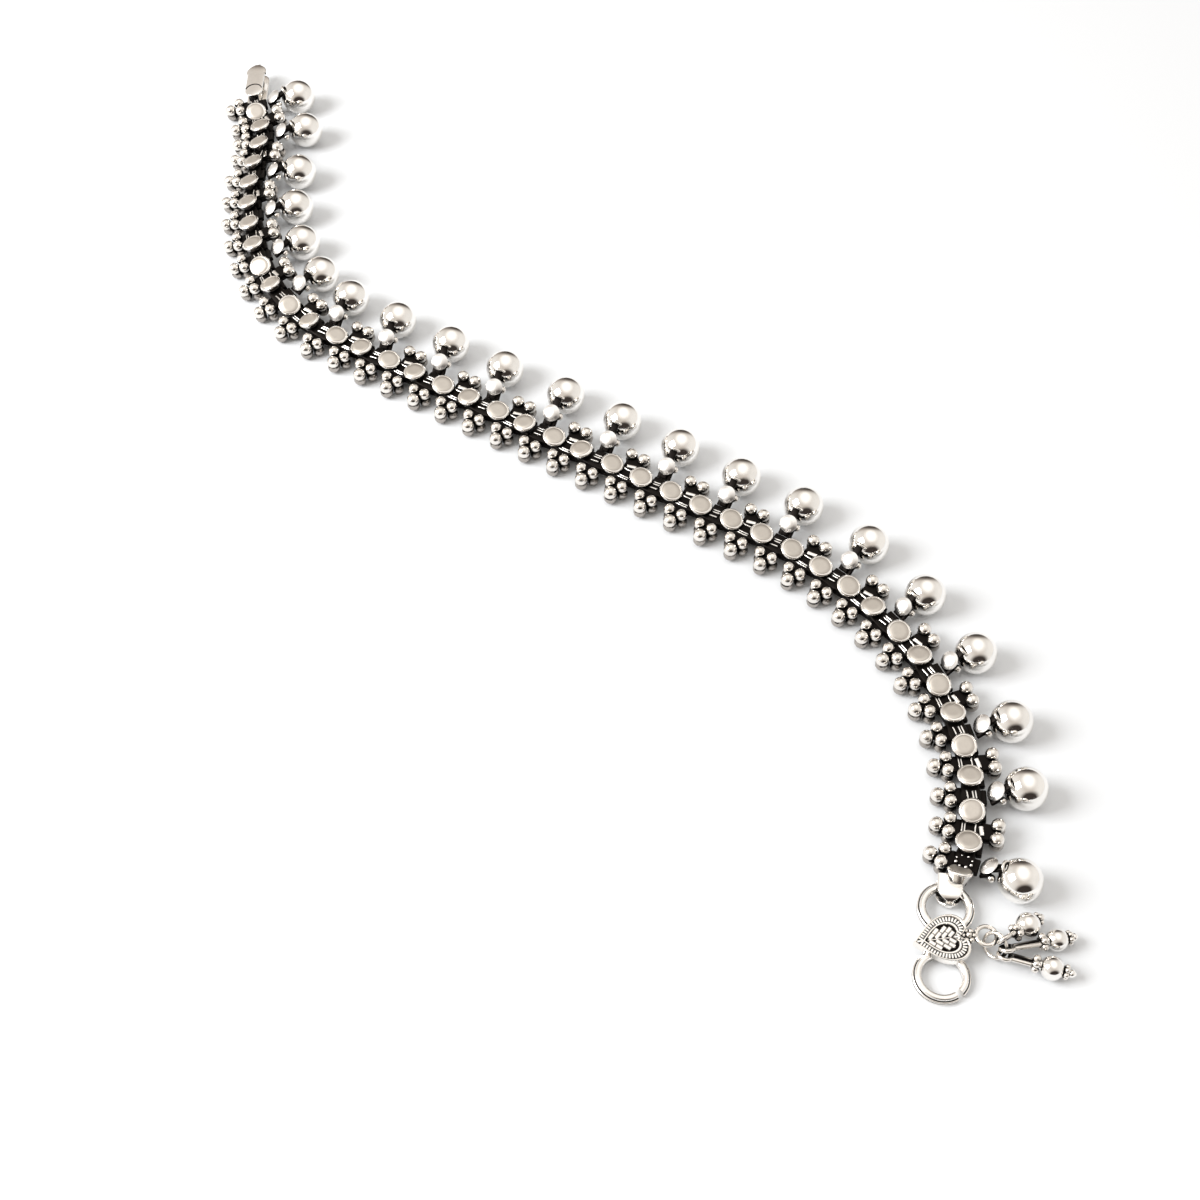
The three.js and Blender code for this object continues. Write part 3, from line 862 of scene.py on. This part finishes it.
def drop(number):
    """One drop: a strip from the short arm's end on a dark foot, a small disc on it with two
    granules below, and the ball in its collar."""
    _, swing, reach = stretch(DROPS, number)
    at = 2 * number - 1.5
    arm_end = chain_frame(at) @ Vector((0, DROP_ARM, MID_Z))
    start = Vector((STRIP_START, 0, arm_end.z))
    centre = Vector((reach, 0, BALL_R))
    rise = rad(STEM_RISE)
    root = centre + (BALL_R - STEM_SINK) * Vector((-math.cos(rise), 0, math.sin(rise)))
    stem = root - start
    slope = math.atan2(stem.z, stem.x)
    sloping = Matrix.Rotation(-slope, 4, "Y")
    middle = start.lerp(root, 0.4)
    on_stem = Matrix.Translation(middle) @ Matrix.Rotation(-max(slope, rad(DISC_TILT)), 4, "Y")
    parts = [
        placed(ball("ball", BALL_R, 56, 32, POLISHED), Matrix.Translation(centre)),
        placed(bar("stem", stem.length, 1.3, 0.7, 0.25, OXIDISED),
               Matrix.Translation((start + root) / 2) @ sloping),
        placed(turned("cup", CUP, 28, OXIDISED), on_stem),
        placed(turned("dome", DOME, 36, DOMES), on_stem),
        placed(bar("foot", 1.7, 2.5, 0.6, 0.25, OXIDISED),
               Matrix.Translation(start + Vector((0.85, 0, 0.1))) @ sloping),
        placed(wire_ring("collar", 0.95, 0.24, 24, 8, GRANULES),
               Matrix.Translation(root - stem.normalized() * 0.1)
               @ Matrix.Rotation(math.pi / 2 - slope, 4, "Y")),
    ]
    for across in (-1.2, 1.2):
        parts.append(placed(ball("bead", 0.66, 14, 10, GRANULES),
                            Matrix.Translation(middle + Vector((0.45, across, -0.7)))))
    swung = shift(arm_end.x, arm_end.y, 0) @ spin(read(LAY, at) + 90 + swing, "Z")
    name = f"drop_{number:02d}"
    finished(placed(joined(name + "_silver", parts), swung), [name])


# The bail at the free end

def start_bail():
    """The long folded strip, with a dark line that closes the round end of its tongue."""
    place = chain_frame(0.5) @ shift(-1.7, 0, 0) @ spin(167, "Z")
    low, line_at, line_r = 0.55, 1.85, 1.72
    strip = lofted("strip", fold(place, length=10.9, width=4.2, low=low, lower_start=0.9,
                                 narrowing=(0.36, 0.35), tongue=(3.6, 7.0)), FITTINGS)
    arc = [place @ Vector((line_at + line_r * math.cos(rad(t)), line_r * math.sin(rad(t)),
                           low + 2 * BEND_R)) for t in range(-75, 76, 15)]
    groove = wires("groove", [arc], 0.11, OXIDISED, 8)
    finished(joined("start_bail_silver", [strip, groove]), ["start_bail"])


# The clasp hook

# Where it lies and how it leans over its lowest edge
HOOK_AT = Vector((54.79, -91.81, 0))
HOOK_LEAN = 2.8
HOOK_CLEAR = 0.02

RING_R = 3.6
RING_HALF = 0.675
RING_T = 1.3
LOWER_RING = Vector((-1.7, -10.8, 0))

# The lower ring's opening: its heading in degrees and its half width
OPENING = -52
OPENING_HALF = 0.45

HEART_AT = (-1.45, -5.6)
HEART_TURN = 7.5
HEART_T = 1.0
HEART_L = 8.3
HEART_W = 7.5

FLOWER = Vector((2.7, -4.9, 0))
FLOWER_R = 0.8
EYE_R = 1.5
EYE_OFF = 0.3


def hook_place():
    """The hook drawn flat and then tipped over its lowest edge."""
    foot = LOWER_RING.y - RING_R - RING_HALF
    return (Matrix.Translation(HOOK_AT) @ shift(0, foot, HOOK_CLEAR) @ spin(HOOK_LEAN, "X")
            @ shift(0, -foot, 0))


def ring_profile():
    """A flat ring's section: a grooved lower step and a narrower bright step on top."""
    rows = [(-0.675, 0.1), (-0.6, 0), (0.6, 0), (0.675, 0.08), (0.675, 0.28), (0.65, 0.33),
            (0.45, 0.36), (0.45, 0.44), (0.65, 0.47), (0.675, 0.52), (0.675, 0.66),
            (0.62, 0.74), (0.5, 0.78), (0.4, 0.72), (0.36, 0.72), (0.34, 1.0), (0.27, 1.16),
            (0.12, 1.27), (-0.1, 1.3), (-0.35, 1.27), (-0.55, 1.17), (-0.65, 1.0),
            (-0.675, 0.8)]
    return [(RING_R + off, height) for off, height in rows]


def ring_lines(first=0.0, last=360.0):
    """The tarnish that lies in a ring's two grooves, as narrow bands."""
    bands = [[(0.33, 0.70), (0.49, 0.74), (0.49, 0.81), (0.33, 0.86)],
             [(0.44, 0.34), (0.668, 0.33), (0.668, 0.47), (0.44, 0.46)]]
    return [swept_round("groove", [(RING_R + off, height) for off, height in band], 72,
                        OXIDISED, first=first, last=last) for band in bands]


def bezier(a, b, c, d, steps):
    """Points along a curve of two ends and two handles, without its last point."""
    points = []
    for i in range(steps):
        t = i / steps
        s = 1 - t
        points.append(tuple(s ** 3 * a[k] + 3 * s * s * t * b[k] + 3 * s * t * t * c[k]
                            + t ** 3 * d[k] for k in (0, 1)))
    return points


def heart_line(scale, height):
    """The heart's outline at a scale about its middle, with its tip towards -X."""
    steps = 12
    length, half = HEART_L * scale, HEART_W * scale / 2
    tip, cleft = (-length / 2, 0), (length * 0.34, 0)
    wide, lobe = (length * 0.2, half), (length * 0.49, half * 0.32)
    side = bezier(tip, (-length * 0.3, half * 0.42), (-length * 0.12, half), wide, steps)
    side += bezier(wide, (length * 0.42, half), (length * 0.52, half * 0.6), lobe, steps // 2)
    side += bezier(lobe, (length * 0.45, half * 0.15), (length * 0.37, half * 0.06), cleft, 3)
    mirrored = [(x, -y) for x, y in reversed(side[1:])]
    return [Vector((x, y, height)) for x, y in side + [cleft] + mirrored]


def heart_cells():
    """The leaf pattern's raised cells: place, length, width and turn. Rows of two cells slant
    off a middle rib on each side, and the row at the cleft is one short cell."""
    cells = [(-0.35, 0, 3.4, 0.24, 0)]
    turn = 42
    slant = rad(turn)
    for side in (1, -1):
        for i, reach in enumerate((2.2, 2.5, 2.1, 1.15)):
            foot = -1.9 + 1.0 * i
            count = 1 if reach < 1.3 else 2
            each = reach / count
            for k in range(count):
                middle = 0.1 + each * (k + 0.5)
                cells.append((foot + middle * math.cos(slant),
                              side * (0.07 + middle * math.sin(slant)),
                              each * 0.92, 0.6, side * turn))
    return cells


def heart():
    """The heart plate: a rounded rim, a dark ground with short bars round it, and a leaf pattern
    inside a second raised line."""
    rim = [(1.0, 0), (1.0, 1.1), (0.99, 1.25), (0.965, 1.34), (0.935, 1.35), (0.905, 1.28),
           (0.89, 1.15), (0.885, HEART_T)]
    parts = [
        lofted("rim", [heart_line(s, z) for s, z in rim], RELIEF),
        lofted("ground", [heart_line(0.89, z) for z in (0.9, HEART_T + 0.03)], OXIDISED),
        lofted("line", [heart_line(s, z) for s, z in (
            (0.69, 0.95), (0.685, 1.2), (0.665, 1.33), (0.635, 1.36), (0.605, 1.33),
            (0.585, 1.2), (0.58, 0.95))], RELIEF, closed=True),
    ]
    path = heart_line(0.785, HEART_T + 0.12)
    parts.append(grown(lines_mesh("bars", [path + [path[0]]]), HATCH, Count=46, Long=0.66,
                       Wide=0.27, High=0.3, Material=RELIEF))
    for x, y, length, width, turn in heart_cells():
        leaf = bar("leaf", length, width, 0.5, min(0.12, width / 2.2), RELIEF)
        parts.append(placed(leaf, shift(x, y, HEART_T + 0.06) @ spin(turn, "Z")))
    return joined("heart", parts)


def clasp_hook():
    """Two flat rings, the heart plate soldered across them, a granule flower and an eye."""
    half = math.degrees(math.asin(OPENING_HALF / RING_R))
    upper = swept_round("upper_ring", ring_profile(), 72, RELIEF)
    open_from, open_to = OPENING + half, OPENING + 360 - half
    lower = placed(joined("lower_ring", [
        swept_round("open_ring", ring_profile(), 70, RELIEF, first=open_from, last=open_to),
        *ring_lines(open_from, open_to)]), Matrix.Translation(LOWER_RING))
    plate = placed(heart(), shift(*HEART_AT, RING_T - 0.25) @ spin(HEART_TURN, "Z"))
    parts = [upper, lower, plate, *ring_lines()]
    ground = [(0, 0), (1.0, 0), (1.15, 0.15), (1.0, 0.3), (0, 0.3)]
    parts.append(placed(turned("flower_ground", ground, 24, OXIDISED),
                        Matrix.Translation(FLOWER + Vector((0, 0, RING_T)))))
    grain = ball("flower_grain", 1, 16, 10)
    rows = [(Matrix.Translation(FLOWER + Vector((0, 0, RING_T + 0.75))), 0.5)]
    for i in range(6):
        turn = math.pi * i / 3
        spot = FLOWER + Vector((*polar(FLOWER_R, turn), RING_T + 0.45))
        rows.append((Matrix.Translation(spot), 0.44))
    parts.append(in_row("flower", grain, rows, GRANULES, uneven=0.03, seed=5))
    remove(grain)
    eye_at = FLOWER + Vector((FLOWER_R + EYE_R + EYE_OFF, 0, RING_T + 0.4))
    parts.append(placed(wire_ring("eye", EYE_R, 0.34, 40, 12, GRANULES),
                        Matrix.Translation(eye_at)))
    finished(placed(joined("clasp_hook_silver", parts), hook_place()), ["clasp_hook"])


# The jump ring and its charms

CHARM_RING_R = 1.9
CHARM_WIRE = 0.3
LEAN = rad(60)
TOWARD_EYE = Vector((-0.6, 0.8, 0))
RING_SIDE = Vector((0.8, 0.6, 0)) * math.cos(LEAN) + Vector((0, 0, math.sin(LEAN)))
RING_CENTRE = (Vector((HOOK_AT.x + FLOWER.x + FLOWER_R + EYE_R + EYE_OFF, HOOK_AT.y + FLOWER.y,
                       0)) - CHARM_RING_R * TOWARD_EYE)
RING_CENTRE.z = CHARM_RING_R * math.sin(LEAN) + CHARM_WIRE + 0.05

# A charm's loop, how far past the jump ring its middle lies, and its end cap's length
LOOP_R = 1.0
LOOP_AT = 0.15
LOOP_WIRE = 0.33
CAP = 1.0

# Where each loop sits round the ring, its heading and dip, its stem's length and bead's radius
CHARMS = [("charm_1", 75, 36, 15, 1.1, 1.95), ("charm_2", 32, 14, 7.5, 4.3, 1.7),
          ("charm_3", -2, -17, 1, 3.1, 1.8)]


def basis(x, y, z, origin):
    """The matrix with these three axes and origin."""
    matrix = Matrix((x, y, z)).transposed().to_4x4()
    matrix.translation = origin
    return matrix


def charm_ring():
    """The jump ring through the eye, leaning on the table."""
    ring = wire_ring("charm_ring_silver", CHARM_RING_R, CHARM_WIRE, 48, 14, GRANULES)
    place = basis(TOWARD_EYE, RING_SIDE, TOWARD_EYE.cross(RING_SIDE), RING_CENTRE)
    finished(placed(ring, place), ["charm_ring"])


def charm_profile(body, bead):
    """A charm's turned rows after its neck: an end cap, the bead, a collar and the tip."""
    end = body + CAP + bead * 2
    rows = [(0, body), (0.6, body), (0.8, body + 0.2), (0.85, body + 0.5), (0.75, body + 0.85)]
    for turn in range(26, 160, 8):
        rows.append((bead * math.sin(rad(turn)), body + CAP + bead - bead * math.cos(rad(turn))))
    rows += [(0.62, end), (0.7, end + 0.2), (0.72, end + 0.4), (0.55, end + 0.6),
             (0.5, end + 0.7), (0.62, end + 0.85), (0.66, end + 1.05), (0.55, end + 1.3),
             (0.3, end + 1.6), (0.12, end + 1.74), (0, end + 1.76)]
    return rows


def long_ring(low, high, half):
    """A closed line round a long ring that lies along X."""
    points = []
    for middle, first in ((high - half, -90), (low + half, 90)):
        for i in range(9):
            turn = rad(first + 22.5 * i)
            points.append(Vector((middle + half * math.cos(turn), half * math.sin(turn), 0)))
    return points + [points[0].copy()]


def ring_of_beads(place, count, radius, size, material):
    """Beads round an axis that runs along X."""
    bead = ball("bead", 1, 14, 8)
    rows = []
    for i in range(count):
        turn = 2 * math.pi * i / count
        rows.append((shift(place, *polar(radius, turn)), size))
    beads = in_row("beads", bead, rows, material, uneven=0.04, lean=0.5, seed=count)
    remove(bead)
    return beads


def charm(name, around, heading, dip, stem, bead):
    """One charm hanging by its loop from the jump ring and lying on the table."""
    turn, heading, dip = rad(around), rad(heading), rad(dip)
    held = (RING_CENTRE - CHARM_RING_R * math.cos(turn) * TOWARD_EYE
            + CHARM_RING_R * math.sin(turn) * RING_SIDE)
    tangent = math.sin(turn) * TOWARD_EYE + math.cos(turn) * RING_SIDE
    along = Vector((*polar(math.cos(dip), heading), -math.sin(dip)))
    flat = (tangent - tangent.dot(along) * along).normalized()
    place = basis(along, flat.cross(along), flat, held)
    lying = Matrix.Rotation(math.pi / 2, 4, "Y")
    body = LOOP_AT + LOOP_R + stem
    neck = body - stem - 0.2
    collar = body + CAP + bead * 2 + 0.3
    shank = [(0, body - 0.9), (0.3, body - 0.9), (0.55, body), (0.6, body + 0.3),
             (0, body + 0.3)]
    parts = [
        placed(wire_ring("loop", LOOP_R, LOOP_WIRE, 32, 12, GRANULES), shift(LOOP_AT, 0, 0)),
        placed(turned("bead", charm_profile(body, bead), 36, POLISHED), lying),
        wires("link", [long_ring(neck - 0.1, body + 0.1, 0.5)], 0.34, GRANULES, 10),
        placed(turned("shank", shank, 20, OXIDISED), lying),
        ring_of_beads(body + 0.42, 5, 0.82, 0.58, GRANULES),
        ring_of_beads(collar, 6, 0.74, 0.44, GRANULES),
    ]
    finished(placed(joined(name + "_silver", parts), place), [name])


# The table, the light and the camera

# The room's colours: its ends, its sides, the ceiling, the far wall and the dark front
ENDS = (0.66, 0.60, 0.54, 1)
SIDES = (0.93, 0.90, 0.86, 1)
CEILING = (1.3, 1.27, 1.22, 1)
FAR_WALL = (0.40, 0.35, 0.31, 1)
DARK_FRONT = (0.045, 0.036, 0.032, 1)
TABLE = (0.755, 0.775, 0.80, 1)
TABLE_HALF = 3

KEY_AT = (-0.57, -0.11, 0.47)
KEY_SIDE = 0.42
KEY_POWER = 6.6

CAMERA_AT = (0.00355, -0.23008, 0.25502)
CAMERA_TILT = 37.7
LENS = 57.72
SENSOR = 36


def floor():
    """The pale table, as the stage."""
    far = TABLE_HALF
    mesh = bpy.data.meshes.new("table")
    mesh.from_pydata([(-far, -far, 0), (far, -far, 0), (far, far, 0), (-far, far, 0)], [],
                     [(0, 1, 2, 3)])
    obj = new_object("table", mesh)
    material = bpy.data.materials.new("pale_table")
    material.use_nodes = True
    shader = material.node_tree.nodes["Principled BSDF"]
    shader.inputs["Base Color"].default_value = TABLE
    shader.inputs["Roughness"].default_value = 0.8
    mesh.materials.append(material)


def key_light():
    """One soft light on the left that looks at the middle of the table."""
    data = bpy.data.lights.new("key", "AREA")
    data.shape = "RECTANGLE"
    data.size = data.size_y = KEY_SIDE
    data.energy = KEY_POWER
    obj = new_object("key", data)
    obj.location = KEY_AT
    obj.rotation_euler = (-Vector(KEY_AT)).to_track_quat("-Z", "Y").to_euler()


def vector_node(tree, operation, *values):
    """A vector math node of vectors or other nodes' outputs."""
    return add(tree, "ShaderNodeVectorMath", dict(enumerate(values)), operation=operation)


def direction_node(tree, where, middle, squash):
    """How far a direction is from a middle one, with each axis stretched by its factor."""
    away = vector_node(tree, "SUBTRACT", where, middle).outputs["Vector"]
    scaled = vector_node(tree, "MULTIPLY", away, squash).outputs["Vector"]
    return vector_node(tree, "LENGTH", scaled).outputs["Value"]


def studio():
    """A pale room that is darker in front of the table."""
    bpy.context.scene.view_settings.view_transform = "Standard"
    world = bpy.data.worlds.new("studio")
    bpy.context.scene.world = world
    world.use_nodes = True
    tree = world.node_tree
    where = add(tree, "ShaderNodeTexCoord", {}).outputs["Generated"]
    split = add(tree, "ShaderNodeSeparateXYZ", {0: where})
    aside = smooth_step(tree, math_node(tree, "ABSOLUTE", split.outputs["X"]), 0.15, 0.95)
    room = mixed(tree, "RGBA", aside, ENDS, SIDES)
    above = direction_node(tree, where, (0.08, 0.20, 0.97), (1, 0.8, 1))
    room = mixed(tree, "RGBA", smooth_step(tree, above, 0.75, 0.25), room, CEILING)
    behind = smooth_step(tree, split.outputs["Y"], 0.72, 0.97)
    room = mixed(tree, "RGBA", behind, room, FAR_WALL)
    front = direction_node(tree, where, (0.12, -0.95, 0.12), (1.35, 0.35, 1.55))
    room = mixed(tree, "RGBA", smooth_step(tree, front, 1.05, 0.62), room, DARK_FRONT)
    feed(tree, tree.nodes["Background"].inputs["Color"], room)


def camera():
    """The camera at the photograph's angle."""
    data = bpy.data.cameras.new("camera")
    data.lens = LENS
    data.sensor_width = SENSOR
    data.clip_start = 0.01
    obj = new_object("camera", data)
    obj.location = CAMERA_AT
    obj.rotation_euler = (rad(CAMERA_TILT), 0, 0)
    bpy.context.scene.camera = obj


camera()
floor()
studio()
key_light()
make_chain()
for number in range(1, (LINKS + 1) // 2 + 1):
    drop(number)
start_bail()
clasp_hook()
charm_ring()
for row in CHARMS:
    charm(*row)

mark_hollows()
